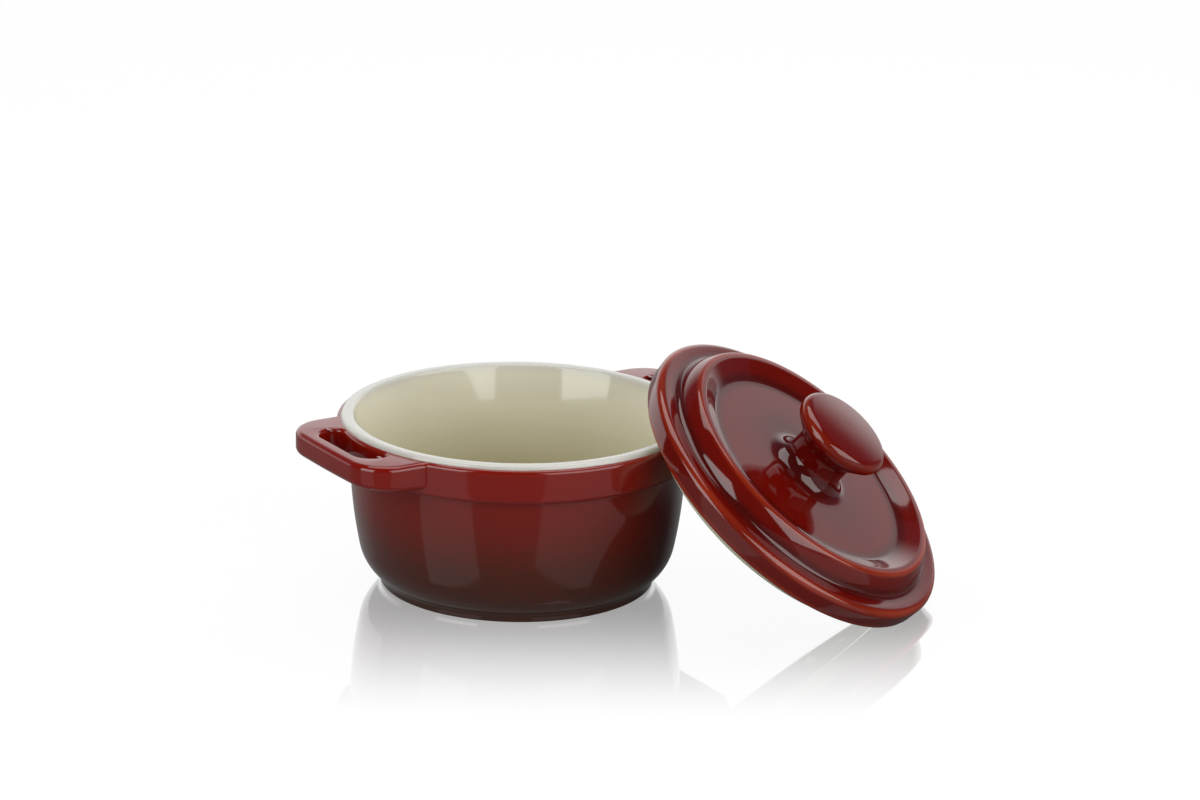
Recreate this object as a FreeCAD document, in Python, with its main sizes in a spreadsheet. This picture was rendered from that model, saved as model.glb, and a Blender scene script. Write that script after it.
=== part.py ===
import FreeCAD, Part
import math
import os

import Sketcher

# Small round casserole with two loop handles, and its lid set down against one of them.
#
# The pot is one casting: a drum on a low foot, a thicker collar round its top, a bead for a rim, and two
# slotted handles that grow out of the collar. The lid is one casting with its knob. Lengths are in
# millimetres and angles in degrees. The origin is the centre of the pot's foot, on the floor, with +Z up
# and +X towards the lid.

PARTS_FOLDER = "parts"
NEAR = 0.01
FULL_TURN = 360.0
HALF_TURN = 180.0
LEAN_HALVINGS = 9
LEAN_FLATTEST = 30.0
LEAN_STEEPEST = 55.0

SIZES = {
    # pot, outside
    "foot_radius": 41.6,
    "neck_height": 2.4,
    "shoulder_bulge": 15.2,
    "shoulder_radius": 48.0,
    "shoulder_height": 12.0,
    "drum_bulge": 142.0,
    "drum_radius": 50.9,
    "collar_radius": 54.9,
    "collar_height": 10.3,
    "ledge_height": 51.6,
    "bead_height": 1.2,
    "bead_width": 3.6,
    # pot, inside
    "mouth_radius": 50.0,
    "wall_taper": 8.3,
    "wall_bulge": 370.0,
    "floor_thickness": 5.2,
    # pot, roundings
    "floor_round": 13.0,
    "foot_round": 0.6,
    "neck_round": 2.5,
    "collar_round": 1.2,
    "cove_round": 1.5,
    "bead_round": 1.05,
    # handles
    "handle_direction": 31.0,
    "handle_reach": 12.1,
    "handle_bow": 0.8,
    "handle_half_width": 27.0,
    "handle_corner": 12.0,
    "notch_round": 3.5,
    "notch_bite": 0.4,
    "root_depth": 3.1,
    "handle_thickness": 8.2,
    "handle_under_slope": 4.0,
    "handle_top_round": 1.5,
    "handle_under_round": 2.2,
    "handle_bar": 4.6,
    "slot_half_width": 16.6,
    "slot_corner": 6.5,
    "slot_round": 0.9,
    # lid
    "lid_radius": 53.9,
    "lid_draft": 0.95,
    "lid_edge": 7.8,
    "lid_bottom_round": 1.2,
    "lid_edge_round": 2.1,
    "riser_foot_radius": 46.5,
    "riser_foot_height": 7.3,
    "riser_foot_round": 1.8,
    "riser_bulge": 12.0,
    "crest_radius": 43.6,
    "crest_width": 2.3,
    "crest_height": 14.1,
    "crest_round": 1.1,
    "disc_radius": 35.2,
    "disc_height": 10.9,
    "disc_round": 2.5,
    "lid_wall": 4.4,
    "hollow_step": 1.4,
    "locating_fit": 3.7,
    "locating_width": 3.4,
    "locating_depth": 4.1,
    "locating_round": 1.0,
    # knob
    "stem_radius": 7.2,
    "stem_flare": 6.0,
    "stem_height": 18.5,
    "stem_throat": 5.0,
    "knob_radius": 15.1,
    "knob_edge_low": 27.6,
    "knob_edge_high": 29.8,
    "knob_edge_round": 1.1,
    "knob_dome": 160.0,
    "knob_top_height": 30.5,
    # where the lid stands
    "lean_direction": 21.5,
    "lean_foot_distance": 121.1,
    "lean_foot_offset": 13.9,
    "lean_gap": 0.25,
}


class Size:
    """A length or an angle: its value now, and the expression that keeps it tied to the sheet."""

    def __init__(self, value, text):
        self.value = value
        self.text = text

    def joined(self, sign, other, value):
        return Size(value, f"({self.text} {sign} {as_size(other).text})")

    def __add__(self, other):
        return self.joined("+", other, self.value + as_size(other).value)

    def __sub__(self, other):
        return self.joined("-", other, self.value - as_size(other).value)

    def __mul__(self, other):
        return self.joined("*", other, self.value * as_size(other).value)

    def __truediv__(self, other):
        return self.joined("/", other, self.value / as_size(other).value)

    def __neg__(self):
        return Size(-self.value, f"(-{self.text})")


def as_size(amount):
    """A plain number as a Size of its own."""
    return amount if isinstance(amount, Size) else Size(amount, repr(amount))


def tangent(angle):
    """The tangent of a Size in degrees."""
    return Size(math.tan(math.radians(angle.value)), f"tan({angle.text})")


class Sheet:
    """The spreadsheet of driving dimensions, read as Sizes by their names."""

    def __init__(self, doc, sizes):
        self.cells = doc.addObject("Spreadsheet::Sheet", "Sizes")
        for row, (alias, number) in enumerate(sizes.items(), start=1):
            self.cells.set(f"A{row}", alias)
            self.cells.set(f"B{row}", str(number))
            self.cells.setAlias(f"B{row}", alias)
        doc.recompute()

    def __getattr__(self, alias):
        return Size(float(self.cells.get(alias)), f"Sizes.{alias}")


def origin_plane(body, role):
    """One of a body's own three planes."""
    return next(plane for plane in body.Origin.OriginFeatures if plane.Role == role)


def new_sketch(body, name, role):
    """An empty sketch on one of the body's own planes."""
    sketch = body.newObject("Sketcher::SketchObject", name)
    sketch.AttachmentSupport = [(origin_plane(body, role), "")]
    sketch.MapMode = "FlatFace"
    return sketch


def keep(sketch, constraint, size):
    """Adds a measured constraint and ties it to the sheet."""
    index = sketch.addConstraint(constraint)
    sketch.setExpression(f"Constraints[{index}]", size.text)


def pin(sketch, curve, end, across, up):
    """Holds one end of a curve at a place given by two Sizes. A place on an axis stays on it."""
    for size, kind, axis in ((across, "DistanceX", -2), (up, "DistanceY", -1)):
        size = as_size(size)
        if abs(size.value) < NEAR:
            sketch.addConstraint(Sketcher.Constraint("PointOnObject", curve, end, axis))
        else:
            keep(sketch, Sketcher.Constraint(kind, -1, 1, curve, end, size.value), size)


class Corner:
    """A corner of an outline. The run that leaves it is straight, or an arc of the radius `arc`, which is
    positive where the arc turns left and negative where it turns right."""

    def __init__(self, across, up, arc=None):
        self.across = as_size(across)
        self.up = as_size(up)
        self.arc = arc

    def point(self):
        return FreeCAD.Vector(self.across.value, self.up.value, 0)


def arc_through(start, stop, radius):
    """The arc from start to stop with a signed radius, and whether it was laid backwards."""
    chord = stop - start
    half = chord.Length / 2
    side = FreeCAD.Vector(-chord.y, chord.x, 0).normalize()
    rise = math.sqrt(radius * radius - half * half)
    centre = start + chord * 0.5 + side * math.copysign(rise, radius)
    first, last = (start, stop) if radius > 0 else (stop, start)
    angles = [math.atan2(end.y - centre.y, end.x - centre.x) for end in (first, last)]
    circle = Part.Circle(centre, FreeCAD.Vector(0, 0, 1), abs(radius))
    return Part.ArcOfCircle(circle, *angles), radius < 0


def draw_outline(sketch, corners):
    """Draws a closed outline through the corners and ties every corner and radius to the sheet."""
    ends = []
    for corner, after in zip(corners, corners[1:] + corners[:1]):
        if corner.arc is None:
            curve = sketch.addGeometry(Part.LineSegment(corner.point(), after.point()))
            ends.append((curve, 1, 2))
        else:
            shape, backwards = arc_through(corner.point(), after.point(), corner.arc.value)
            curve = sketch.addGeometry(shape)
            ends.append((curve, 2, 1) if backwards else (curve, 1, 2))
    for (curve, _, leave), (after, enter, _) in zip(ends, ends[1:] + ends[:1]):
        sketch.addConstraint(Sketcher.Constraint("Coincident", curve, leave, after, enter))
    for (curve, enter, _), corner in zip(ends, corners):
        pin(sketch, curve, enter, corner.across, corner.up)
        if corner.arc is not None:
            radius = corner.arc if corner.arc.value > 0 else -corner.arc
            keep(sketch, Sketcher.Constraint("Radius", curve, radius.value), radius)


def revolve(body, name, corners):
    """Turns an outline of (radius, height) corners into a solid round the body's Z axis."""
    sketch = new_sketch(body, name + "Section", "XZ_Plane")
    draw_outline(sketch, corners)
    turned = body.newObject("PartDesign::Revolution", name)
    turned.Profile = sketch
    turned.ReferenceAxis = (sketch, ["V_Axis"])
    turned.Angle = FULL_TURN
    body.Document.recompute()
    return turned


def edge_names(feature, wanted):
    """The names of a feature's edges for which wanted(edge) is true."""
    names = [f"Edge{i}" for i, edge in enumerate(feature.Shape.Edges, start=1) if wanted(edge)]
    if not names:
        raise ValueError(f"{feature.Label} has no edge to round")
    return names


def round_edges(body, name, radius, wanted):
    """Rounds the chosen edges of the body as it stands."""
    before = body.Tip
    fillet = body.newObject("PartDesign::Fillet", name)
    fillet.Base = (before, edge_names(before, wanted))
    fillet.Radius = radius.value
    fillet.setExpression("Radius", radius.text)
    body.Document.recompute()
    return fillet


def ring(radius, height):
    """Chooses the circular edges round the Z axis at a radius and a height."""

    def wanted(edge):
        curve = None if edge.Degenerated else edge.Curve
        return (
            isinstance(curve, Part.Circle)
            and abs(curve.Radius - radius.value) < NEAR
            and abs(curve.Center.z - height.value) < NEAR
            and math.hypot(curve.Center.x, curve.Center.y) < NEAR
        )

    return wanted


def rings(*places):
    """Chooses the edges at any of several (radius, height) places."""
    tests = [ring(radius, height) for radius, height in places]
    return lambda edge: any(test(edge) for test in tests)


def sine_side(slope, side):
    """The side left by Pythagoras when a longer side and a shorter one are known."""
    rest = slope * slope - side * side
    return Size(math.sqrt(rest.value), f"sqrt{rest.text}")


def turn_of(size):
    """A plain number of degrees as an angle for an expression."""
    return size.text + " * 1 deg"


def make_wall(doc, at):
    """The drum with its foot, collar and bead: all of the pot that is round."""
    body = doc.addObject("PartDesign::Body", "wall")
    collar_bottom = at.ledge_height - at.collar_height
    rim = at.ledge_height + at.bead_height
    bead_radius = at.mouth_radius + at.bead_width
    floor_radius = at.mouth_radius - (rim - at.floor_thickness) * tangent(at.wall_taper)
    revolve(
        body,
        "Drum",
        [
            Corner(0, 0),
            Corner(at.foot_radius, 0),
            Corner(at.foot_radius, at.neck_height, arc=at.shoulder_bulge),
            Corner(at.shoulder_radius, at.shoulder_height, arc=at.drum_bulge),
            Corner(at.drum_radius, collar_bottom),
            Corner(at.collar_radius, collar_bottom),
            Corner(at.collar_radius, at.ledge_height),
            Corner(bead_radius, at.ledge_height),
            Corner(bead_radius, rim),
            Corner(at.mouth_radius, rim, arc=at.wall_bulge),
            Corner(floor_radius, at.floor_thickness),
            Corner(0, at.floor_thickness),
        ],
    )
    round_edges(body, "FloorRound", at.floor_round, ring(floor_radius, at.floor_thickness))
    round_edges(body, "NeckRound", at.neck_round, ring(at.foot_radius, at.neck_height))
    round_edges(body, "FootRound", at.foot_round, ring(at.foot_radius, as_size(0)))
    round_edges(body, "CoveRound", at.cove_round, ring(at.drum_radius, collar_bottom))
    collar_edges = rings((at.collar_radius, collar_bottom), (at.collar_radius, at.ledge_height))
    round_edges(body, "CollarRound", at.collar_round, collar_edges)
    round_edges(body, "BeadRound", at.bead_round, rings((bead_radius, rim), (at.mouth_radius, rim)))
    return body


def make_handle(doc, at, name, turn):
    """One handle, a slab with a slot through it. Its own frame has +X outward and the ledge at height 0."""
    body = doc.addObject("PartDesign::Body", name)
    root_radius = at.collar_radius - at.root_depth
    notch_middle = at.collar_radius - at.notch_bite + at.notch_round
    notch_side = at.handle_half_width + at.notch_round
    notch_out = sine_side(notch_middle, notch_side)
    to_collar = (at.collar_radius - at.notch_bite) / notch_middle
    to_root = root_radius / notch_middle
    bow_reach = at.collar_radius + at.handle_reach
    corner_reach = bow_reach - at.handle_bow
    half = at.handle_half_width
    bow_radius = (half * half + at.handle_bow * at.handle_bow) / (at.handle_bow * 2)
    slope = tangent(at.handle_under_slope)
    depth = at.handle_thickness + at.collar_radius * slope

    plan = new_sketch(body, "Plan", "XY_Plane")
    draw_outline(
        plan,
        [
            Corner(corner_reach, -half, arc=bow_radius),
            Corner(corner_reach, half),
            Corner(notch_out, half, arc=-at.notch_round),
            Corner(notch_out * to_collar, notch_side * to_collar),
            Corner(notch_out * to_root, notch_side * to_root, arc=-root_radius),
            Corner(notch_out * to_root, -(notch_side * to_root)),
            Corner(notch_out * to_collar, -(notch_side * to_collar), arc=-at.notch_round),
            Corner(notch_out, -half),
        ],
    )
    slab = body.newObject("PartDesign::Pad", "Slab")
    slab.Profile = plan
    slab.Reversed = True
    slab.Length = depth.value
    slab.setExpression("Length", depth.text)
    doc.recompute()

    wedge = new_sketch(body, "Wedge", "XZ_Plane")
    beyond = bow_reach + at.handle_bar
    draw_outline(
        wedge,
        [
            Corner(0, -depth),
            Corner(beyond, -depth),
            Corner(beyond, beyond * slope - depth),
        ],
    )
    underside = body.newObject("PartDesign::Pocket", "Underside")
    underside.Profile = wedge
    underside.Type = "ThroughAll"
    underside.Midplane = True
    doc.recompute()

    opening = new_sketch(body, "Opening", "XY_Plane")
    slot_reach = bow_reach - at.handle_bar
    draw_outline(
        opening,
        [
            Corner(0, -at.slot_half_width),
            Corner(slot_reach, -at.slot_half_width),
            Corner(slot_reach, at.slot_half_width),
            Corner(0, at.slot_half_width),
        ],
    )
    slot = body.newObject("PartDesign::Pocket", "Slot")
    slot.Profile = opening
    slot.Type = "ThroughAll"
    slot.Midplane = True
    doc.recompute()

    for label, radius, reach, side in (
        ("Corners", at.handle_corner, corner_reach, half),
        ("SlotCorners", at.slot_corner, slot_reach, at.slot_half_width),
    ):
        round_edges(body, label, radius, upright(reach, side))
    round_edges(body, "UnderRound", at.handle_under_round, outer_edge(bow_reach, top=False))
    round_edges(body, "TopRound", at.handle_top_round, outer_edge(bow_reach, top=True))
    round_edges(body, "SlotTopRound", at.slot_round, outer_edge(slot_reach, top=True))
    round_edges(body, "SlotUnderRound", at.slot_round, outer_edge(slot_reach, top=False))

    body.Placement = FreeCAD.Placement(
        FreeCAD.Vector(0, 0, at.ledge_height.value),
        FreeCAD.Rotation(FreeCAD.Vector(0, 0, 1), turn.value),
    )
    body.setExpression("Placement.Base.z", at.ledge_height.text)
    body.setExpression("Placement.Rotation.Angle", turn_of(turn))
    return body


def upright(reach, side):
    """Chooses the two upright edges at a distance outward and to each side."""

    def wanted(edge):
        low, high = edge.ParameterRange
        middle = edge.valueAt((low + high) / 2)
        return abs(middle.x - reach.value) < NEAR and abs(abs(middle.y) - side.value) < NEAR

    return wanted


def outer_edge(reach, top):
    """Chooses the edge that crosses the handle's middle line at a distance outward, above or below."""

    def wanted(edge):
        low, high = edge.ParameterRange
        middle = edge.valueAt((low + high) / 2)
        return (
            abs(middle.y) < NEAR
            and abs(middle.x - reach.value) < NEAR
            and (abs(middle.z) < NEAR) == top
        )

    return wanted


def make_lid(doc, at):
    """The lid with its knob. Its own frame has the seat at height 0 and the knob above it."""
    body = doc.addObject("PartDesign::Body", "lid")
    ring_outside = at.mouth_radius - at.locating_fit
    ring_inside = ring_outside - at.locating_width
    ceiling = at.disc_height - at.lid_wall
    crest_inside = at.crest_radius - at.crest_width
    under_crest = at.crest_height - at.lid_wall
    revolve(
        body,
        "Cover",
        [
            Corner(0, ceiling),
            Corner(at.disc_radius - at.hollow_step, ceiling),
            Corner(crest_inside - at.hollow_step, under_crest),
            Corner(at.crest_radius - at.hollow_step, under_crest),
            Corner(ring_inside, -at.locating_depth),
            Corner(ring_outside, -at.locating_depth),
            Corner(ring_outside, 0),
            Corner(at.lid_radius - at.lid_draft, 0),
            Corner(at.lid_radius, at.lid_edge),
            Corner(at.riser_foot_radius, at.riser_foot_height, arc=at.riser_bulge),
            Corner(at.crest_radius, at.crest_height),
            Corner(crest_inside, at.crest_height),
            Corner(at.disc_radius, at.disc_height),
            Corner(at.stem_radius, at.disc_height),
            Corner(at.stem_radius, at.stem_height),
            Corner(at.knob_radius, at.knob_edge_low),
            Corner(at.knob_radius, at.knob_edge_high, arc=at.knob_dome),
            Corner(0, at.knob_top_height),
        ],
    )
    round_edges(body, "BottomRound", at.lid_bottom_round, ring(at.lid_radius - at.lid_draft, as_size(0)))
    round_edges(body, "EdgeRound", at.lid_edge_round, ring(at.lid_radius, at.lid_edge))
    riser_foot = ring(at.riser_foot_radius, at.riser_foot_height)
    round_edges(body, "RiserFootRound", at.riser_foot_round, riser_foot)
    crest_edges = rings((at.crest_radius, at.crest_height), (crest_inside, at.crest_height))
    round_edges(body, "CrestRound", at.crest_round, crest_edges)
    round_edges(body, "DiscRound", at.disc_round, ring(at.disc_radius, at.disc_height))
    round_edges(body, "StemFlare", at.stem_flare, ring(at.stem_radius, at.disc_height))
    round_edges(body, "StemThroat", at.stem_throat, ring(at.stem_radius, at.stem_height))
    knob_edges = rings((at.knob_radius, at.knob_edge_low), (at.knob_radius, at.knob_edge_high))
    round_edges(body, "KnobRound", at.knob_edge_round, knob_edges)
    locating_edges = rings((ring_inside, -at.locating_depth), (ring_outside, -at.locating_depth))
    round_edges(body, "LocatingRound", at.locating_round, locating_edges)
    return body


def leaning(at, tilt):
    """The lid's place when it stands on the floor at its lowest point, tilted by so many degrees."""
    away = math.radians(at.lean_direction.value)
    lean = FreeCAD.Vector(math.cos(away), -math.sin(away), 0)
    across = FreeCAD.Vector(math.sin(away), math.cos(away), 0)
    foot = lean * at.lean_foot_distance.value + across * at.lean_foot_offset.value
    turn = FreeCAD.Rotation(across, tilt)
    round_size = at.lid_bottom_round.value
    middle_of_round = lean * (at.lid_radius.value - at.lid_draft.value - round_size)
    middle_of_round.z = round_size
    base = foot + FreeCAD.Vector(0, 0, round_size) - turn.multVec(middle_of_round)
    return FreeCAD.Placement(base, turn)


def set_down(lid, supports, at):
    """Lays the lid against the pot: as flat as it goes while it stays clear by the lean gap. Only the faces
    below the lid's seat come near the pot, so only they are measured."""
    lower_faces = [face for face in lid.Shape.Faces if face.CenterOfMass.z < NEAR]
    underside = Part.Compound(lower_faces)
    steep = LEAN_STEEPEST
    flat = LEAN_FLATTEST
    for _ in range(LEAN_HALVINGS):
        tilt = (steep + flat) / 2
        underside.Placement = leaning(at, tilt)
        gap = min(underside.distToShape(support.Shape)[0] for support in supports)
        if gap < at.lean_gap.value:
            flat = tilt
        else:
            steep = tilt
    lid.Placement = leaning(at, steep)
    return steep


def check(doc):
    """Stops when an object of the document failed or has no sound shape."""
    for thing in doc.Objects:
        if {"Invalid", "Error"} & set(thing.State):
            raise ValueError(f"{thing.Label}: {thing.State}")
        shape = getattr(thing, "Shape", None)
        if shape is not None and thing.TypeId.startswith("Part") and (shape.isNull() or not shape.isValid()):
            raise ValueError(f"{thing.Label} has no sound shape")


def export(thing, name):
    """Writes one sub-part under the name of its node."""
    thing.Shape.exportStep(os.path.join(PARTS_FOLDER, name + ".step"))


def main():
    doc = FreeCAD.newDocument("casserole")
    at = Sheet(doc, SIZES)
    wall = make_wall(doc, at)
    right = make_handle(doc, at, "handle_right", at.handle_direction)
    left = make_handle(doc, at, "handle_left", at.handle_direction + HALF_TURN)
    doc.recompute()
    pot = doc.addObject("Part::MultiFuse", "pot")
    pot.Shapes = [wall, left, right]
    pot.Refine = True
    lid = make_lid(doc, at)
    doc.recompute()
    tilt = set_down(lid, [wall, right], at)
    doc.recompute()
    check(doc)
    os.makedirs(PARTS_FOLDER, exist_ok=True)
    export(pot, "pot")
    export(lid, "lid")
    print(f"lid tilt {tilt:.2f} degrees, {len(pot.Shape.Solids)} pot solid, {len(lid.Shape.Solids)} lid solid")


main()
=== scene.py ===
import math

import bmesh
import bpy
import numpy as np
from mathutils import Matrix, Vector


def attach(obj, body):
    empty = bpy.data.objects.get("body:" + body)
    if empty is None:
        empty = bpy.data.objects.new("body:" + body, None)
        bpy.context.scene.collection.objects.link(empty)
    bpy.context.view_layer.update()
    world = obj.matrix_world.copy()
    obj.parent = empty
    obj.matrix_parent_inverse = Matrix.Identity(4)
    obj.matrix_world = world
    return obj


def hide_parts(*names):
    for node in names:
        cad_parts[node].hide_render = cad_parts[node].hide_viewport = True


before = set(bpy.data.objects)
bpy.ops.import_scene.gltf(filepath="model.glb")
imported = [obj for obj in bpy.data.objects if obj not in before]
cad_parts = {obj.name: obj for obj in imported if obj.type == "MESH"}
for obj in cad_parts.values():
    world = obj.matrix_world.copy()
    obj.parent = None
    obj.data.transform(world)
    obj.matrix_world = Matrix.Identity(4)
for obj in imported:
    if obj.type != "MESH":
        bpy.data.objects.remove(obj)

MM = 0.001
TURN_STEPS = 240
PROFILE_STEP = 0.35
PLAN_STEP = 0.05
PLAN_COLUMNS = 181
UNDER_STEPS = 9
TOP_STEPS = 8
MERGE_DISTANCE = 1e-4
SHARP_ANGLE = math.radians(40)


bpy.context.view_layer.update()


# Outlines with rounded corners


class Corner:
    """A corner of an outline, with its rounding and the bulge radius of the run that leaves it. The bulge
    is positive where the run turns left, negative where it turns right and 0 where it is straight."""

    def __init__(self, x, y, rounding=0.0, bulge=0.0):
        self.place = np.array([x, y], float)
        self.rounding = rounding
        self.bulge = bulge


def unit(vector):
    return vector / np.hypot(*vector)


def turn_left(vector):
    return np.array([-vector[1], vector[0]])


class Run:
    """The straight line or arc between two corners."""

    def __init__(self, start, stop, bulge):
        self.start = start
        self.stop = stop
        self.bulge = bulge
        if bulge:
            chord = stop - start
            half = np.hypot(*chord) / 2
            rise = math.sqrt(bulge * bulge - half * half)
            self.centre = start + chord / 2 + turn_left(unit(chord)) * math.copysign(rise, bulge)

    def offset(self, point):
        """How far a point lies to the left of the run."""
        if self.bulge:
            distance = np.hypot(*(point - self.centre))
            return self.bulge - distance if self.bulge > 0 else distance + self.bulge
        return float(np.dot(turn_left(unit(self.stop - self.start)), point - self.start))

    def foot(self, point):
        """The nearest point of the run's line or circle."""
        if self.bulge:
            return self.centre + unit(point - self.centre) * abs(self.bulge)
        along = unit(self.stop - self.start)
        return self.start + along * np.dot(point - self.start, along)

    def heading(self, point):
        """The direction of the run where it passes a point."""
        if self.bulge:
            return turn_left(unit(point - self.centre)) * math.copysign(1, self.bulge)
        return unit(self.stop - self.start)

    def trace(self, step):
        """Points from the start up to, and without, the stop. A straight run needs only a few."""
        if self.bulge:
            return sweep(self.centre, self.start, self.stop, step)
        count = max(1, round(np.hypot(*(self.stop - self.start)) / (step * 6)))
        return [self.start + (self.stop - self.start) * i / count for i in range(count)]


def sweep(centre, start, stop, step):
    """Points along the shorter arc from start up to, and without, stop."""
    first = start - centre
    last = stop - centre
    radius = np.hypot(*first)
    angle = math.atan2(first[0] * last[1] - first[1] * last[0], np.dot(first, last))
    begin = math.atan2(first[1], first[0])
    count = max(4, round(abs(angle) * radius / step))
    turns = [begin + angle * i / count for i in range(count)]
    return [centre + radius * np.array([math.cos(turn), math.sin(turn)]) for turn in turns]


def rounding_centre(before, after, corner):
    """The centre of the circle that touches both runs on the inner side of their corner."""
    heading_in = before.heading(corner.place)
    heading_out = after.heading(corner.place)
    turn = math.atan2(np.dot(turn_left(heading_in), heading_out), np.dot(heading_in, heading_out))
    side = math.copysign(1, turn)
    centre = corner.place + unit(heading_out - heading_in) * corner.rounding / math.cos(turn / 2)
    nudge = 1e-5

    def miss(point):
        return np.array([run.offset(point) * side - corner.rounding for run in (before, after)])

    for _ in range(12):
        here = miss(centre)
        slopes = [(miss(centre + np.eye(2)[axis] * nudge) - here) / nudge for axis in (0, 1)]
        centre = centre - np.linalg.solve(np.array(slopes).T, here)
    return centre


def trace_outline(corners, step=PROFILE_STEP):
    """The points of an open outline, with its corners rounded."""
    runs = [Run(a.place, b.place, a.bulge) for a, b in zip(corners, corners[1:])]
    centres = {}
    for i, corner in enumerate(corners[1:-1], start=1):
        if corner.rounding:
            centres[i] = rounding_centre(runs[i - 1], runs[i], corner)
    for i, centre in centres.items():
        runs[i - 1].stop = runs[i - 1].foot(centre)
        runs[i].start = runs[i].foot(centre)
    points = []
    for i, run in enumerate(runs):
        if i in centres:
            points += sweep(centres[i], runs[i - 1].stop, run.start, step)
        points += run.trace(step)
    points.append(corners[-1].place)
    return np.array(points)


def along_path(path, fractions):
    """Points of a path at fractions of its length, and the direction to the right of the way there."""
    steps = np.hypot(*np.diff(path, axis=0).T)
    reach = np.concatenate([[0], np.cumsum(steps)])
    wanted = np.asarray(fractions) * reach[-1]
    here, ahead, behind = (
        np.stack([np.interp(wanted + by, reach, path[:, axis]) for axis in (0, 1)], axis=-1)
        for by in (0, PLAN_STEP, -PLAN_STEP)
    )
    way = ahead - behind
    way /= np.hypot(*way.T)[:, None]
    return here, np.stack([way[:, 1], -way[:, 0]], axis=-1)


# Meshes


def new_piece(name, points, faces):
    """An object with doubled points merged and its faces outward."""
    mesh = bpy.data.meshes.new(name)
    mesh.from_pydata([tuple(point) for point in points], [], faces)
    mesh.validate()
    work = bmesh.new()
    work.from_mesh(mesh)
    bmesh.ops.remove_doubles(work, verts=work.verts, dist=MERGE_DISTANCE)
    bmesh.ops.recalc_face_normals(work, faces=work.faces)
    work.to_mesh(mesh)
    work.free()
    piece = bpy.data.objects.new(name, mesh)
    bpy.context.scene.collection.objects.link(piece)
    return piece


def turned(name, outline):
    """A solid turned from an outline of (radius, height) points that starts and ends on the axis."""
    middle = outline[1:-1]
    turns = np.arange(TURN_STEPS) * math.tau / TURN_STEPS
    rings = np.stack(
        [
            np.outer(middle[:, 0], np.cos(turns)),
            np.outer(middle[:, 0], np.sin(turns)),
            np.repeat(middle[:, 1:], TURN_STEPS, axis=1),
        ],
        axis=-1,
    ).reshape(-1, 3)
    low_pole = len(rings)
    high_pole = low_pole + 1
    points = np.vstack([rings, [0, 0, outline[0][1]], [0, 0, outline[-1][1]]])
    faces = []
    for near in range(0, low_pole - TURN_STEPS, TURN_STEPS):
        far = near + TURN_STEPS
        for step in range(TURN_STEPS):
            after = (step + 1) % TURN_STEPS
            faces.append((near + step, near + after, far + after, far + step))
    top = low_pole - TURN_STEPS
    for step in range(TURN_STEPS):
        after = (step + 1) % TURN_STEPS
        faces.append((low_pole, after, step))
        faces.append((top + step, top + after, high_pole))
    return new_piece(name, points, faces)


def prism(name, edges, column, turn):
    """A closed solid between an outer and an inner edge, turned about the axis. column(place, away) gives
    the points, from the bottom up, that stand where an edge passes a place."""
    spread = np.linspace(0, 1, PLAN_COLUMNS)
    (outer, out_way), (inner, in_way) = (along_path(edge, spread) for edge in edges)
    loop = [column(place, way) for place, way in zip(outer, out_way)]
    loop += [column(place, -way) for place, way in zip(inner[::-1], in_way[::-1])]
    count = len(loop[0])
    total = len(loop) * count
    points = np.array(loop).reshape(-1, 3)
    faces = []
    for near in range(0, total, count):
        far = (near + count) % total
        faces += [(near + step, far + step, far + step + 1, near + step + 1) for step in range(count - 1)]
    for near in range(0, total // 2 - count, count):
        opposite = total - count - near
        low = (near, near + count, opposite - count, opposite)
        faces += [low, tuple(corner + count - 1 for corner in low)]
    spin = math.radians(turn)
    x = points[:, 0] * math.cos(spin) - points[:, 1] * math.sin(spin)
    y = points[:, 0] * math.sin(spin) + points[:, 1] * math.cos(spin)
    return new_piece(name, np.stack([x, y, points[:, 2]], axis=-1), faces)


def cut_and_joined(base, added, removed):
    """The base with some pieces joined to it and others cut away, as one closed skin."""
    changes = [(piece, "UNION") for piece in added] + [(piece, "DIFFERENCE") for piece in removed]
    for other, operation in changes:
        step = base.modifiers.new("step", "BOOLEAN")
        step.operation = operation
        step.solver = "MANIFOLD"
        step.object = other
    bpy.context.view_layer.update()
    seen = base.evaluated_get(bpy.context.evaluated_depsgraph_get())
    mesh = bpy.data.meshes.new_from_object(seen)
    base.modifiers.clear()
    base.data = mesh
    for other in added + removed:
        bpy.data.objects.remove(other)
    return base


def smooth(piece):
    """Shades a piece smooth, except across its sharp edges."""
    piece.data.polygons.foreach_set("use_smooth", [True] * len(piece.data.polygons))
    piece.data.set_sharp_from_angle(angle=SHARP_ANGLE)


# The pot: a drum on a low foot, with a collar and a bead round its mouth, and two slotted handles

FOOT_RADIUS = 41.6
FOOT_ROUND = 0.6
NECK_HEIGHT = 2.4
NECK_ROUND = 2.5
SHOULDER_BULGE = 15.2
SHOULDER_RADIUS = 48.0
SHOULDER_HEIGHT = 12.0
DRUM_BULGE = 142.0
DRUM_RADIUS = 50.9
COVE_ROUND = 1.5
COLLAR_BOTTOM = 41.3
COLLAR_RADIUS = 54.9
COLLAR_ROUND = 1.2
LEDGE = 51.6
RIM = 52.8
BEAD_RADIUS = 53.6
BEAD_ROUND = 1.05
MOUTH_RADIUS = 50.0
FLARE_BULGE = 172.0
FLARE_RADIUS = 46.6
FLARE_HEIGHT = 38.0
WALL_BULGE = 315.0
FLOOR_RADIUS = 42.3
FLOOR_HEIGHT = 5.2
FLOOR_ROUND = 13.0

HANDLE_TURNS = (31.0, 211.0)
HANDLE_REACH = 67.0
HANDLE_BOW = 0.8
HANDLE_HALF = 27.0
HANDLE_CORNER = 12.0
HANDLE_THICKNESS = 8.2
HANDLE_SLOPE = math.tan(math.radians(4.0))
NOTCH_ROUND = 3.5
NOTCH_BITE = 0.4
ROOT_DEPTH = 3.1
TOP_ROUND = 1.7
UNDER_ROUND = 2.2
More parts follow.
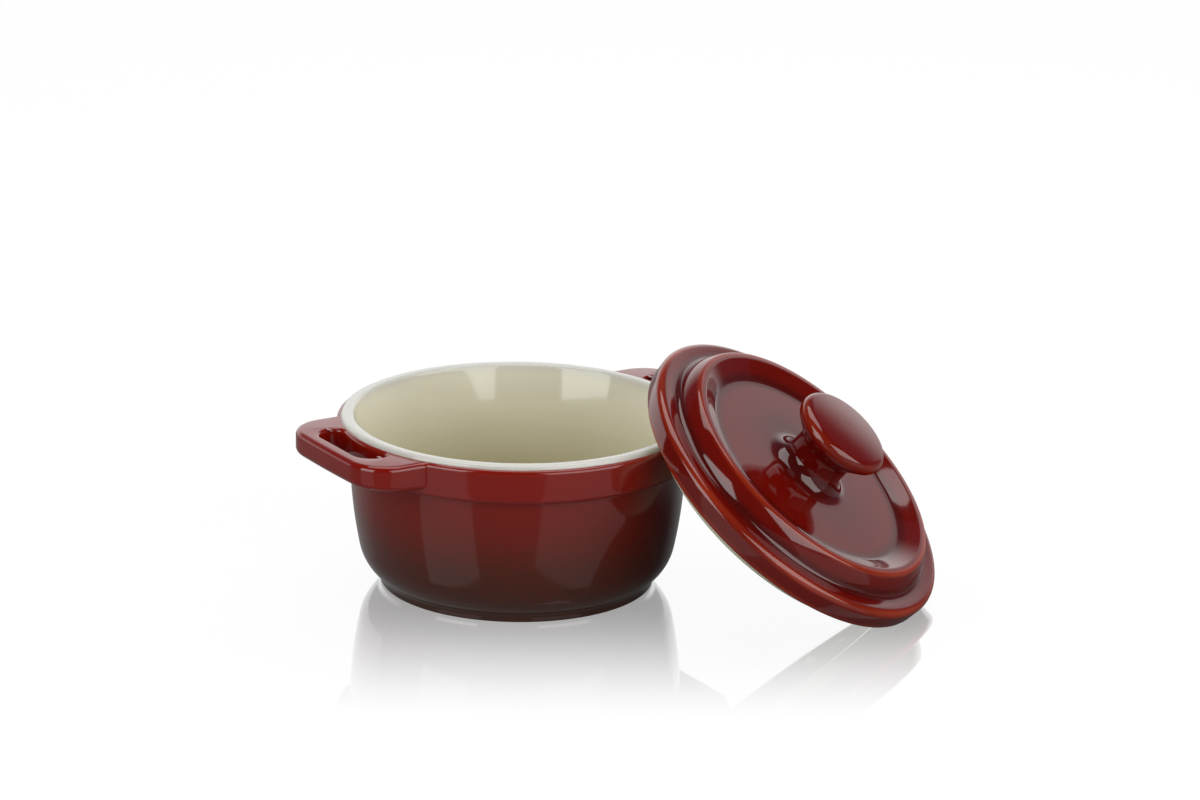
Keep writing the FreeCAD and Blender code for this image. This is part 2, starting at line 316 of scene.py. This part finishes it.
# The handle's top stands this little above the ledge, and the slot's edge as much above that, because
# faces in one plane don't cut cleanly.
FLUSH = 0.004

SLOT_REACH = 62.3
SLOT_NEAR = 54.85
SLOT_HALF = 15.7
SLOT_CORNER = 6.0
SLOT_INNER_CORNER = 3.2
SLOT_ROUND = 1.1


def pot_outline():
    """The drum, from the middle of its foot out, up, over the rim and back to the middle of its floor."""
    return trace_outline(
        [
            Corner(0, 0),
            Corner(FOOT_RADIUS, 0, FOOT_ROUND),
            Corner(FOOT_RADIUS, NECK_HEIGHT, NECK_ROUND, bulge=SHOULDER_BULGE),
            Corner(SHOULDER_RADIUS, SHOULDER_HEIGHT, bulge=DRUM_BULGE),
            Corner(DRUM_RADIUS, COLLAR_BOTTOM, COVE_ROUND),
            Corner(COLLAR_RADIUS, COLLAR_BOTTOM, COLLAR_ROUND),
            Corner(COLLAR_RADIUS, LEDGE, COLLAR_ROUND),
            Corner(BEAD_RADIUS, LEDGE),
            Corner(BEAD_RADIUS, RIM, BEAD_ROUND),
            Corner(MOUTH_RADIUS, RIM, BEAD_ROUND, bulge=FLARE_BULGE),
            Corner(FLARE_RADIUS, FLARE_HEIGHT, bulge=WALL_BULGE),
            Corner(FLOOR_RADIUS, FLOOR_HEIGHT, FLOOR_ROUND),
            Corner(0, FLOOR_HEIGHT),
        ]
    )


def handle_edges():
    """The handle's outer edge and its root inside the collar, in plan, both from -Y to +Y."""
    middle = COLLAR_RADIUS - NOTCH_BITE + NOTCH_ROUND
    side = HANDLE_HALF + NOTCH_ROUND
    out = math.sqrt(middle * middle - side * side)
    to_collar = (COLLAR_RADIUS - NOTCH_BITE) / middle
    to_root = (COLLAR_RADIUS - ROOT_DEPTH) / middle
    corner = HANDLE_REACH - HANDLE_BOW
    bow = (HANDLE_HALF**2 + HANDLE_BOW**2) / (2 * HANDLE_BOW)
    outer = [
        Corner(out * to_root, -side * to_root),
        Corner(out * to_collar, -side * to_collar, bulge=-NOTCH_ROUND),
        Corner(out, -HANDLE_HALF),
        Corner(corner, -HANDLE_HALF, HANDLE_CORNER, bulge=bow),
        Corner(corner, HANDLE_HALF, HANDLE_CORNER),
        Corner(out, HANDLE_HALF, bulge=-NOTCH_ROUND),
        Corner(out * to_collar, side * to_collar),
        Corner(out * to_root, side * to_root),
    ]
    root = [
        Corner(out * to_root, -side * to_root, bulge=COLLAR_RADIUS - ROOT_DEPTH),
        Corner(out * to_root, side * to_root),
    ]
    return trace_outline(outer, PLAN_STEP), trace_outline(root, PLAN_STEP)


def slot_edges():
    """The slot's outer and inner edge in plan, all four corners rounded, both from -Y to +Y."""
    near = math.sqrt(SLOT_NEAR**2 - SLOT_HALF**2)
    middle = (near + SLOT_REACH) / 2
    outer = [
        Corner(middle, -SLOT_HALF),
        Corner(SLOT_REACH, -SLOT_HALF, SLOT_CORNER),
        Corner(SLOT_REACH, SLOT_HALF, SLOT_CORNER),
        Corner(middle, SLOT_HALF),
    ]
    inner = [
        Corner(middle, -SLOT_HALF),
        Corner(near, -SLOT_HALF, SLOT_INNER_CORNER, bulge=SLOT_NEAR),
        Corner(near, SLOT_HALF, SLOT_INNER_CORNER),
        Corner(middle, SLOT_HALF),
    ]
    return trace_outline(outer, PLAN_STEP), trace_outline(inner, PLAN_STEP)


def quarter(rounding, count):
    """How far in from the wall, and how far short of the flat, the points of a rounded edge lie."""
    turns = np.linspace(0, math.pi / 2, count)
    return [(rounding * (1 - math.cos(turn)), rounding * (1 - math.sin(turn))) for turn in turns]


def handle_column(place, away):
    """The handle's wall, rounded above and below, over an underside that rises outwards."""
    column = []
    for inset, lift in quarter(UNDER_ROUND, UNDER_STEPS)[::-1]:
        x, y = place - away * inset
        bottom = LEDGE - HANDLE_THICKNESS + (x - COLLAR_RADIUS) * HANDLE_SLOPE
        column.append((x, y, bottom + lift))
    for inset, lift in quarter(TOP_ROUND, TOP_STEPS):
        x, y = place - away * inset
        column.append((x, y, LEDGE + FLUSH - lift))
    return column


def slot_column(place, away):
    """The slot's wall, which flares at the top, so that the slot's edge is rounded."""
    column = [(*place, LEDGE - 2 * HANDLE_THICKNESS)]
    for flare, lift in quarter(SLOT_ROUND, TOP_STEPS):
        column.append((*(place + away * flare), LEDGE + 2 * FLUSH - lift))
    column.append((*(place + away * SLOT_ROUND), LEDGE + SLOT_ROUND))
    return column


# The lid: a flange, a riser up to a crest, a dished disc and a knob, with a hollow and a locating ring
# below. RISER_FOOT, CREST and DISC are corners, each a radius and a height.

LID_TILT = math.radians(40.16)
LID_BEARING = math.radians(21.5)
LID_FOOT_DISTANCE = 121.1
LID_FOOT_OFFSET = 13.9
LID_RADIUS = 53.9
LID_DRAFT = 0.95
LID_BOTTOM_ROUND = 1.2
LID_EDGE = 7.8
LID_EDGE_ROUND = 2.1
RISER_FOOT = (46.5, 7.3)
RISER_FOOT_ROUND = 1.8
RISER_BULGE = 12.0
CREST = (43.6, 14.1)
CREST_WIDTH = 2.3
CREST_ROUND = 1.1
DISC = (35.2, 10.9)
DISC_ROUND = 2.5
LID_WALL = 4.4
HOLLOW_STEP = 1.4
HOLLOW_EDGE = DISC[0] - HOLLOW_STEP
HOLLOW_TOP = DISC[1] - LID_WALL
LOCATING_RADIUS = 46.3
LOCATING_WIDTH = 3.4
LOCATING_DEPTH = 4.1
LOCATING_ROUND = 1.0
STEM_RADIUS = 9.2
STEM_FLARE = 5.5
STEM_HEIGHT = 20.4
STEM_THROAT = 4.0
KNOB_RADIUS = 15.2
KNOB_EDGE_LOW = 25.7
KNOB_UNDER_ROUND = 2.0
KNOB_EDGE_HIGH = 29.5
KNOB_TOP_ROUND = 2.3
KNOB_BULGE = 95.0
KNOB_TOP = 30.6


def lid_outline():
    """The lid, from the middle of its underside out, over its edge and crest, and up over the knob."""
    return trace_outline(
        [
            Corner(0, HOLLOW_TOP),
            Corner(HOLLOW_EDGE, HOLLOW_TOP),
            Corner(CREST[0] - CREST_WIDTH - HOLLOW_STEP, CREST[1] - LID_WALL),
            Corner(CREST[0] - HOLLOW_STEP, CREST[1] - LID_WALL),
            Corner(LOCATING_RADIUS - LOCATING_WIDTH, -LOCATING_DEPTH, LOCATING_ROUND),
            Corner(LOCATING_RADIUS, -LOCATING_DEPTH, LOCATING_ROUND),
            Corner(LOCATING_RADIUS, 0),
            Corner(LID_RADIUS - LID_DRAFT, 0, LID_BOTTOM_ROUND),
            Corner(LID_RADIUS, LID_EDGE, LID_EDGE_ROUND),
            Corner(*RISER_FOOT, RISER_FOOT_ROUND, bulge=RISER_BULGE),
            Corner(*CREST, CREST_ROUND),
            Corner(CREST[0] - CREST_WIDTH, CREST[1], CREST_ROUND),
            Corner(*DISC, DISC_ROUND),
            Corner(STEM_RADIUS, DISC[1], STEM_FLARE),
            Corner(STEM_RADIUS, STEM_HEIGHT, STEM_THROAT),
            Corner(KNOB_RADIUS, KNOB_EDGE_LOW, KNOB_UNDER_ROUND),
            Corner(KNOB_RADIUS, KNOB_EDGE_HIGH, KNOB_TOP_ROUND, bulge=KNOB_BULGE),
            Corner(0, KNOB_TOP),
        ]
    )


def lid_place():
    """Where the lid stands: its own frame as a matrix, in metres."""
    lean = Vector((math.cos(LID_BEARING), -math.sin(LID_BEARING), 0))
    across = Vector((math.sin(LID_BEARING), math.cos(LID_BEARING), 0))
    foot = lean * LID_FOOT_DISTANCE + across * LID_FOOT_OFFSET
    turn = Matrix.Rotation(LID_TILT, 4, across)
    middle = lean * (LID_RADIUS - LID_DRAFT - LID_BOTTOM_ROUND) + Vector((0, 0, LID_BOTTOM_ROUND))
    base = foot + Vector((0, 0, LID_BOTTOM_ROUND)) - turn @ middle
    return Matrix.Translation(base * MM) @ turn


# Shader graphs

# Which output of its node each of these is.
OBJECT_PLACE = 3
CAMERA_RAY = 0
GLOSSY_RAY = 3


class Wire:
    """A shader value that can be used in sums."""

    def __init__(self, graph, socket):
        self.graph = graph
        self.socket = socket

    def math(self, operation, *others):
        sockets = dict(enumerate((self, *others)))
        return self.graph.node("ShaderNodeMath", {"operation": operation}, sockets)[0]

    def __add__(self, other):
        return self.math("ADD", other)

    def __radd__(self, other):
        return self + other

    def __sub__(self, other):
        return self.math("SUBTRACT", other)

    def __rsub__(self, other):
        return self * -1.0 + other

    def __mul__(self, other):
        return self.math("MULTIPLY", other)

    def __rmul__(self, other):
        return self * other

    def __pow__(self, other):
        return self.math("POWER", other)

    def above(self, edge, width):
        """0 well below an edge and 1 well above it, in a soft step."""
        sockets = {"Value": self, "From Min": edge - width / 2, "From Max": edge + width / 2}
        settings = {"interpolation_type": "SMOOTHSTEP"}
        return self.graph.node("ShaderNodeMapRange", settings, sockets)[0]

    def below(self, edge, width):
        """1 well below an edge and 0 well above it, in a soft step."""
        return 1.0 - self.above(edge, width)


class Graph:
    """Builds the node tree of one material or world."""

    def __init__(self, tree):
        self.tree = tree
        tree.nodes.clear()

    def node(self, kind, settings=None, sockets=None):
        """Adds a node, and returns its outputs as wires."""
        made = self.tree.nodes.new(kind)
        for name, value in (settings or {}).items():
            setattr(made, name, value)
        for name, value in (sockets or {}).items():
            self.feed(made.inputs[name], value)
        return [Wire(self, output) for output in made.outputs]

    def feed(self, entry, value):
        if isinstance(value, Wire):
            self.tree.links.new(value.socket, entry)
        else:
            entry.default_value = value

    def blend(self, share, low, high):
        """A colour between two colours."""
        made = self.tree.nodes.new("ShaderNodeMix")
        made.data_type = "RGBA"
        for index, value in ((0, share), (6, low), (7, high)):
            self.feed(made.inputs[index], value)
        return Wire(self, made.outputs[2])

    def noise(self, place, scale, detail):
        """A cloudy pattern from 0 to 1, with its scale in cells to the metre."""
        return self.node("ShaderNodeTexNoise", None, {"Vector": place, "Scale": scale, "Detail": detail})[0]


def squared_distance(first, first_at, second, second_at):
    """The square of how far two measures are from a fixed place."""
    first_off = first - first_at
    second_off = second - second_at
    return first_off * first_off + second_off * second_off


def greatest(shares):
    """The greatest of some shares."""
    most, *others = shares
    for other in others:
        most = most.math("MAXIMUM", other)
    return most


def colour(red, green, blue):
    """A colour as it is read off a screen, in the shader's own scale."""

    def linear(value):
        share = value / 255
        return share / 12.92 if share <= 0.04045 else ((share + 0.055) / 1.055) ** 2.4

    return (linear(red), linear(green), linear(blue), 1.0)


def new_material(name):
    material = bpy.data.materials.new(name)
    material.use_nodes = True
    return material, Graph(material.node_tree)


# The enamels. A fade is the height, or the distance from the axis, of its middle, and then its width.

GLASS_INDEX = 1.52
COAT_SHARE = 0.35
COAT_ROUGHNESS = 0.02
RELIEF_DEPTH = 0.001
RELIEF_STRENGTH = 0.08
SPECK_SCALE = 420.0
SPECK_SPREAD = 0.15
GLAZE_LINE = 0.1

FOOT_BROWN = colour(44, 30, 20)
LOW_BROWN = colour(66, 28, 15)
DEEP_RED = colour(112, 22, 12)
BRIGHT_RED = colour(128, 18, 8)
POT_SPECK = colour(140, 34, 14)
THIN_RED = colour(158, 48, 20)
# The darker cream is painted shade deep inside the pot.
PAINTED_SHADE_CREAM = colour(200, 193, 158)
PALE_CREAM = colour(232, 229, 208)
CLOUDY_CREAM = colour(205, 196, 160)
RIM_WHITE = colour(214, 212, 203)
FOOT_FADE = (6.0, 20.0)
DRUM_FADE = (24.0, 24.0)
COLLAR_FADE = (40.0, 14.0)
INSIDE_SHADE_FADE = (30.0, 40.0)
MOUTH_FADE = (49.6, 1.2)
FADE_DRIFT = 7.0
BEAD_WOBBLE = 0.22
INSIDE_TAPER = math.tan(math.radians(8.3))

LID_RED = colour(98, 9, 4)
LID_BRIGHT_RED = colour(114, 14, 6)
LID_SPECK = colour(140, 30, 12)
CORNER_DARKER_RED = colour(58, 12, 10)
THIN_ORANGE = colour(178, 62, 30)
HOLLOW_CREAM = colour(206, 200, 172)
HOLLOW_PALE_CREAM = colour(224, 220, 198)
EDGE_WOBBLE = 0.3
HOLLOW_SLOPE = 0.6
# Where the lid is darker in its concave corners and where its glaze runs thin: a radius, a height and how
# far it reaches. A thin edge also has its share.
DARKER_CORNERS = (
    (RISER_FOOT[0], RISER_FOOT[1] + 0.4, 2.0),
    (DISC[0], DISC[1], 2.2),
    (STEM_RADIUS + 1.5, DISC[1] + 1.5, 3.0),
)
THIN_EDGES = (
    (LID_RADIUS - 0.6, LID_EDGE - 0.7, 1.3, 1.0),
    (CREST[0] - 0.3, CREST[1] - 0.3, 0.9, 1.0),
    (KNOB_RADIUS - 0.2, 28.0, 1.4, 0.7),
    (LID_RADIUS - LID_DRAFT, 0.6, 0.9, 1.0),
)


def finish_enamel(graph, base, roughness, relief):
    """Ends a graph in glossy enamel with a faintly uneven surface."""
    bump = {"Strength": RELIEF_STRENGTH, "Distance": RELIEF_DEPTH, "Height": relief}
    shader = graph.node(
        "ShaderNodeBsdfPrincipled",
        None,
        {
            "Base Color": base,
            "Roughness": roughness,
            "IOR": GLASS_INDEX,
            "Coat Weight": COAT_SHARE,
            "Coat Roughness": COAT_ROUGHNESS,
            "Normal": graph.node("ShaderNodeBump", None, bump)[0],
        },
    )[0]
    graph.node("ShaderNodeOutputMaterial", None, {"Surface": shader})


def round_place(graph, standing=None):
    """A piece's own place: the point, its distance from the axis and its height, in millimetres. A piece
    that doesn't stand upright on the origin gives the matrix of where it stands."""
    point = graph.node("ShaderNodeTexCoord")[OBJECT_PLACE]
    if standing is not None:
        back = standing.inverted()
        sockets = {"Vector": point, "Location": back.translation, "Rotation": back.to_euler()}
        point = graph.node("ShaderNodeMapping", {"vector_type": "POINT"}, sockets)[0]
    x, y, z = graph.node("ShaderNodeSeparateXYZ", None, {"Vector": point})
    return point, (x * x + y * y) ** 0.5 * (1 / MM), z * (1 / MM)


def pot_enamel():
    """Red outside that darkens to a brown black at the foot, cream inside with painted shade that darkens
    it towards the floor, and white on the bead.
    """
    material, graph = new_material("red and cream enamel of the pot")
    point, radius, height = round_place(graph)
    cloud = graph.noise(point, 38.0, 3.0)
    speck = graph.noise(point, SPECK_SCALE, 2.0)
    drifting = height + (cloud - 0.5) * FADE_DRIFT
    red = graph.blend(drifting.above(*FOOT_FADE), FOOT_BROWN, LOW_BROWN)
    red = graph.blend(drifting.above(*DRUM_FADE), red, DEEP_RED)
    red = graph.blend(drifting.above(*COLLAR_FADE), red, BRIGHT_RED)
    red = graph.blend((speck - 0.5) * SPECK_SPREAD + 0.06, red, POT_SPECK)
    collar_edge = squared_distance(height, LEDGE - 0.4, radius, COLLAR_RADIUS - 0.3).below(1.2, 2.2)
    red = graph.blend(collar_edge * 0.15, red, THIN_RED)
    # Painted shade: the cream inside darkens towards the floor of the pot.
    cream = graph.blend(height.above(*INSIDE_SHADE_FADE), PAINTED_SHADE_CREAM, PALE_CREAM)
    cream = graph.blend((cloud - 0.5) * 0.3 + 0.15, cream, CLOUDY_CREAM)
    pale = graph.blend(radius.above(*MOUTH_FADE), cream, RIM_WHITE)
    wobbling = height + (graph.noise(point, 90.0, 1.0) - 0.5) * BEAD_WOBBLE
    on_bead = wobbling.above(LEDGE - 0.05, 0.12) * radius.below(BEAD_RADIUS + 0.12, GLAZE_LINE)
    wall = MOUTH_RADIUS - (RIM - height) * INSIDE_TAPER
    inside = (radius - wall).below(1.0, 0.2) * height.above(FLOOR_HEIGHT - 0.2, GLAZE_LINE)
    base = graph.blend(greatest([on_bead, inside]), red, pale)
    roughness = (graph.noise(point, 60.0, 2.0) - 0.5) * 0.06 + 0.10
    relief = graph.noise(point, 26.0, 1.5) * 0.6 + graph.noise(point, 160.0, 1.0) * 0.05
    finish_enamel(graph, base, roughness, relief)
    return material


def lid_enamel(standing):
    """Red above, thinner and more orange on the edges, darker in the concave corners, and cream below."""
    material, graph = new_material("red and cream enamel of the lid")
    point, radius, height = round_place(graph, standing)
    cloud = graph.noise(point, 34.0, 3.0)
    speck = graph.noise(point, SPECK_SCALE, 2.0)

    def near(at_radius, at_height, reach):
        apart = squared_distance(radius, at_radius, height, at_height) ** 0.5
        return apart.below(reach, reach * 1.3)

    red = graph.blend((cloud - 0.5) * 0.8 + 0.4, LID_RED, LID_BRIGHT_RED)
    red = graph.blend((speck - 0.5) * SPECK_SPREAD + 0.05, red, LID_SPECK)
    darker_corner_share = greatest([near(*darker_corner) for darker_corner in DARKER_CORNERS])
    # The lid's red is made darker in its concave corners: at the riser's foot, the disc's edge and the
    # stem's base.
    red = graph.blend(darker_corner_share * 0.6, red, CORNER_DARKER_RED)
    thin = greatest([near(*place) * share for *place, share in THIN_EDGES])
    red = graph.blend(thin * ((cloud - 0.5) * 1.2 + 0.4), red, THIN_ORANGE)
    cream = graph.blend(cloud, HOLLOW_CREAM, HOLLOW_PALE_CREAM)
    wobbling = height + (graph.noise(point, 120.0, 1.0) - 0.5) * EDGE_WOBBLE
    flat = radius.below(LOCATING_RADIUS + 0.1, GLAZE_LINE) * height.below(HOLLOW_TOP + 0.1, GLAZE_LINE)
    under_crest = radius.above(HOLLOW_EDGE - 0.3, GLAZE_LINE)
    under_crest = under_crest * radius.below(CREST[0] - HOLLOW_STEP + 3.0, GLAZE_LINE)
    slope = (height - (radius - HOLLOW_EDGE) * HOLLOW_SLOPE).below(HOLLOW_TOP + 1.1, GLAZE_LINE)
    rising = slope * under_crest * height.below(CREST[1] - LID_WALL + 0.2, GLAZE_LINE)
    base = graph.blend(greatest([wobbling.below(0.2, 0.15), flat, rising]), red, cream)
    roughness = (graph.noise(point, 60.0, 2.0) - 0.5) * 0.05 + 0.09
    relief = graph.noise(point, 24.0, 1.5) * 0.6 + graph.noise(point, 150.0, 1.0) * 0.05
    finish_enamel(graph, base, roughness, relief)
    return material


# The two pieces


def dress(piece, node, material):
    """Gives a piece its material and lets it stand for its CAD node."""
    piece.data.materials.clear()
    piece.data.materials.append(material)
    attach(piece, "root")
    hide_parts(node)


drum = turned("pot_body", pot_outline())
handles = [prism(f"handle_{turn:.0f}", handle_edges(), handle_column, turn) for turn in HANDLE_TURNS]
slots = [prism(f"slot_{turn:.0f}", slot_edges(), slot_column, turn) for turn in HANDLE_TURNS]
pot = cut_and_joined(drum, handles, slots)
pot.data.transform(Matrix.Scale(MM, 4))
smooth(pot)
dress(pot, "pot", pot_enamel())

standing = lid_place()
lid = turned("lid_body", lid_outline())
lid.data.transform(standing @ Matrix.Scale(MM, 4))
smooth(lid)
dress(lid, "lid", lid_enamel(standing))


# The room: a white floor and backdrop, two soft boxes in front and one overhead, in metres and watts

FLOOR_PLACE = (0, 0.3, -0.0002)
FLOOR_SIZE = (8.0, 5.0)
BACKDROP_PLACE = (0, 1.5, 1.0)
BACKDROP_SIZE = (8.0, 2.4)
LAMP_AIM = (0.0, 0.0, 0.04)
OVERHEAD_PLACE = (0.1, 0.25, 1.3)
# The mirror image in the floor, as the camera sees it, fades towards the front and behind the pot.
MIRROR_FRONT = (-0.072, 0.11)
MIRROR_BACK = (0.14, 0.1)
MIRROR_SHARE = 0.62
# Where the painted shadow of the lid lies in the floor's glow, and how far it fades.
LID_SHADE_PLACE = (0.085, -0.005)
LID_SHADE_FADE = (0.065, 0.09)


def grey(level):
    """A neutral tone in the shader's own scale."""
    return (level, level, level, 1.0)


def stage_plane(name, centre, size, turn, material):
    """A flat stage piece of a width and a depth."""
    mesh = bpy.data.meshes.new(name)
    half_w, half_d = size[0] / 2, size[1] / 2
    corners = [(-half_w, -half_d, 0), (half_w, -half_d, 0), (half_w, half_d, 0), (-half_w, half_d, 0)]
    mesh.from_pydata(corners, [], [(0, 1, 2, 3)])
    mesh.transform(Matrix.Translation(centre) @ turn.to_4x4())
    mesh.materials.append(material)
    plane = bpy.data.objects.new(name, mesh)
    bpy.context.scene.collection.objects.link(plane)


def floor_finish():
    """White to the camera, with a mirror image that fades. To the enamel it is darker: a dim glow, painted
    light in place of the light the floor throws back, with a painted shadow that darkens it most of all
    under the lid."""
    material, graph = new_material("glossy white floor")
    point = graph.node("ShaderNodeTexCoord")[OBJECT_PLACE]
    across, along, _ = graph.node("ShaderNodeSeparateXYZ", None, {"Vector": point})
    ways = graph.node("ShaderNodeLightPath")
    mirror_share = along.above(*MIRROR_FRONT) * along.below(*MIRROR_BACK) * MIRROR_SHARE
    white = graph.node("ShaderNodeEmission", None, {"Color": grey(1.0), "Strength": 0.86})[0]
    lit = graph.node("ShaderNodeBsdfDiffuse", None, {"Color": grey(0.16)})[0]
    matt = graph.node("ShaderNodeAddShader", None, {0: white, 1: lit})[0]
    mirror = graph.node("ShaderNodeBsdfGlossy", None, {"Color": grey(1.0), "Roughness": 0.03})[0]
    seen = graph.node("ShaderNodeMixShader", None, {0: mirror_share, 1: matt, 2: mirror})[0]
    # Painted shadow: the floor's glow to the enamel is darkened where the lid stands over it.
    from_lid = squared_distance(across, LID_SHADE_PLACE[0], along, LID_SHADE_PLACE[1]) ** 0.5
    open_share = from_lid.above(*LID_SHADE_FADE) * 0.85 + 0.15
    # The floor's dim glow to the enamel is painted light, standing in for the light the floor throws back.
    floor_glow_tone = graph.blend(ways[GLOSSY_RAY], grey(0.3), grey(0.17))
    floor_glow_tone = graph.blend(open_share, grey(0.0), floor_glow_tone)
    floor_glow = graph.node("ShaderNodeEmission", None, {"Color": floor_glow_tone, "Strength": 1.0})[0]
    mirror_tone = graph.blend(ways[GLOSSY_RAY], grey(0.0), grey(0.08))
    dim_mirror = graph.node("ShaderNodeBsdfGlossy", None, {"Color": mirror_tone, "Roughness": 0.04})[0]
    reflected = graph.node("ShaderNodeAddShader", None, {0: floor_glow, 1: dim_mirror})[0]
    surface = graph.node("ShaderNodeMixShader", None, {0: ways[CAMERA_RAY], 1: reflected, 2: seen})[0]
    graph.node("ShaderNodeOutputMaterial", None, {"Surface": surface})
    return material


def backdrop_finish():
    """White to the camera. Its mirror image in the enamel fades towards the right and the top."""
    material, graph = new_material("white backdrop")
    point = graph.node("ShaderNodeTexCoord")[OBJECT_PLACE]
    across, _, up = graph.node("ShaderNodeSeparateXYZ", None, {"Vector": point})
    glow_share = across.below(1.35, 0.9) * up.below(0.95, 0.9)
    glossy_ray = graph.node("ShaderNodeLightPath")[GLOSSY_RAY]
    tone = graph.blend(glossy_ray * (1.0 - glow_share), grey(1.0), (0.06, 0.06, 0.08, 1.0))
    glow = graph.node("ShaderNodeEmission", None, {"Color": tone, "Strength": 1.0})[0]
    graph.node("ShaderNodeOutputMaterial", None, {"Surface": glow})
    return material


def soft_box(name, centre, width, height, watts):
    """An area lamp that faces the pot."""
    lamp = bpy.data.lights.new(name, "AREA")
    lamp.shape = "RECTANGLE"
    lamp.size = width
    lamp.size_y = height
    lamp.energy = watts
    holder = bpy.data.objects.new(name, lamp)
    way = Vector(LAMP_AIM) - Vector(centre)
    holder.location = centre
    holder.rotation_euler = way.to_track_quat("-Z", "Y").to_euler()
    bpy.context.scene.collection.objects.link(holder)


def around(bearing, distance, height):
    """A place in front of the pot: bearing in degrees from the camera's side, positive to the right."""
    turn = math.radians(bearing)
    return (distance * math.sin(turn), -distance * math.cos(turn), height)


def light_room():
    soft_box("left soft box", around(-50, 1.3, 0.50), 0.92, 0.92, 7.6)
    soft_box("right soft box", around(48, 1.3, 0.50), 1.60, 0.92, 11.0)
    soft_box("overhead soft box", OVERHEAD_PLACE, 1.2, 0.9, 7.0)
    world = bpy.data.worlds.new("room")
    bpy.context.scene.world = world
    world.use_nodes = True
    graph = Graph(world.node_tree)
    ways = graph.node("ShaderNodeLightPath")
    unseen = graph.blend(ways[GLOSSY_RAY], (0.2, 0.2, 0.21, 1.0), grey(0.03))
    tone = graph.blend(ways[CAMERA_RAY], unseen, grey(1.0))
    sky = graph.node("ShaderNodeBackground", None, {"Color": tone, "Strength": 1.0})[0]
    graph.node("ShaderNodeOutputWorld", None, {"Surface": sky})


upright = Matrix.Rotation(math.radians(90), 3, "X")
stage_plane("floor", FLOOR_PLACE, FLOOR_SIZE, Matrix.Identity(3), floor_finish())
stage_plane("backdrop", BACKDROP_PLACE, BACKDROP_SIZE, upright, backdrop_finish())
light_room()


# The camera: its place in metres, and its heading, tilt and roll in degrees

CAMERA_PLACE = (0.0, -1.454158, 0.506297)
CAMERA_HEADING = -0.9684
CAMERA_TILT = 72.8285
CAMERA_ROLL = 0.9966
CAMERA_LENS = 151.007
SENSOR_WIDTH = 36.0
CLIP_START = 0.01


def put_camera():
    turn = Matrix.Identity(4)
    for angle, axis in ((CAMERA_HEADING, "Z"), (CAMERA_TILT, "X"), (CAMERA_ROLL, "Z")):
        turn = turn @ Matrix.Rotation(math.radians(angle), 4, axis)
    lens = bpy.data.cameras.new("camera")
    lens.lens = CAMERA_LENS
    lens.sensor_width = SENSOR_WIDTH
    lens.clip_start = CLIP_START
    camera = bpy.data.objects.new("camera", lens)
    camera.matrix_world = Matrix.Translation(CAMERA_PLACE) @ turn
    bpy.context.scene.collection.objects.link(camera)
    bpy.context.scene.camera = camera


put_camera()
bpy.context.scene.view_settings.view_transform = "Standard"
